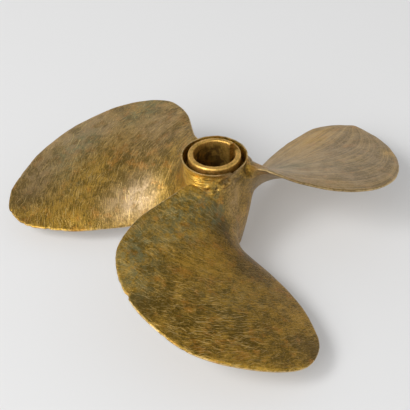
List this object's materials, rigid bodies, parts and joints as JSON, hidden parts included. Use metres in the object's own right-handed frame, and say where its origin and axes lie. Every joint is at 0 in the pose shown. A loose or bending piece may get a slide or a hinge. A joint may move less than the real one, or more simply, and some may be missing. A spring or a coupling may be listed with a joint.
{
  "type": "boat propeller",
  "caption": "Left-handed bronze boat propeller with broad raked blades on a short hub, and a keyed, tapered bush for its shaft.",
  "frame": {"origin": "the centre of mass, which lies on the shaft axis", "axes": "+Z along the shaft axis towards the hub's forward end, up as it lies on its aft end; -Y towards the picture's camera"},
  "size_m": [0.2825, 0.2643, 0.0763],
  "materials": {
    "cast_bronze": "cast bronze with an olive-brown patina, grinding marks and bright worn edges",
    "bush_bronze": "machined bronze, lighter than the casting, dark inside the bore"
  },
  "bodies": {
    "root": {"hub_and_blades": "cast_bronze", "shaft_bush": "bush_bronze"}
  },
  "joints": []
}
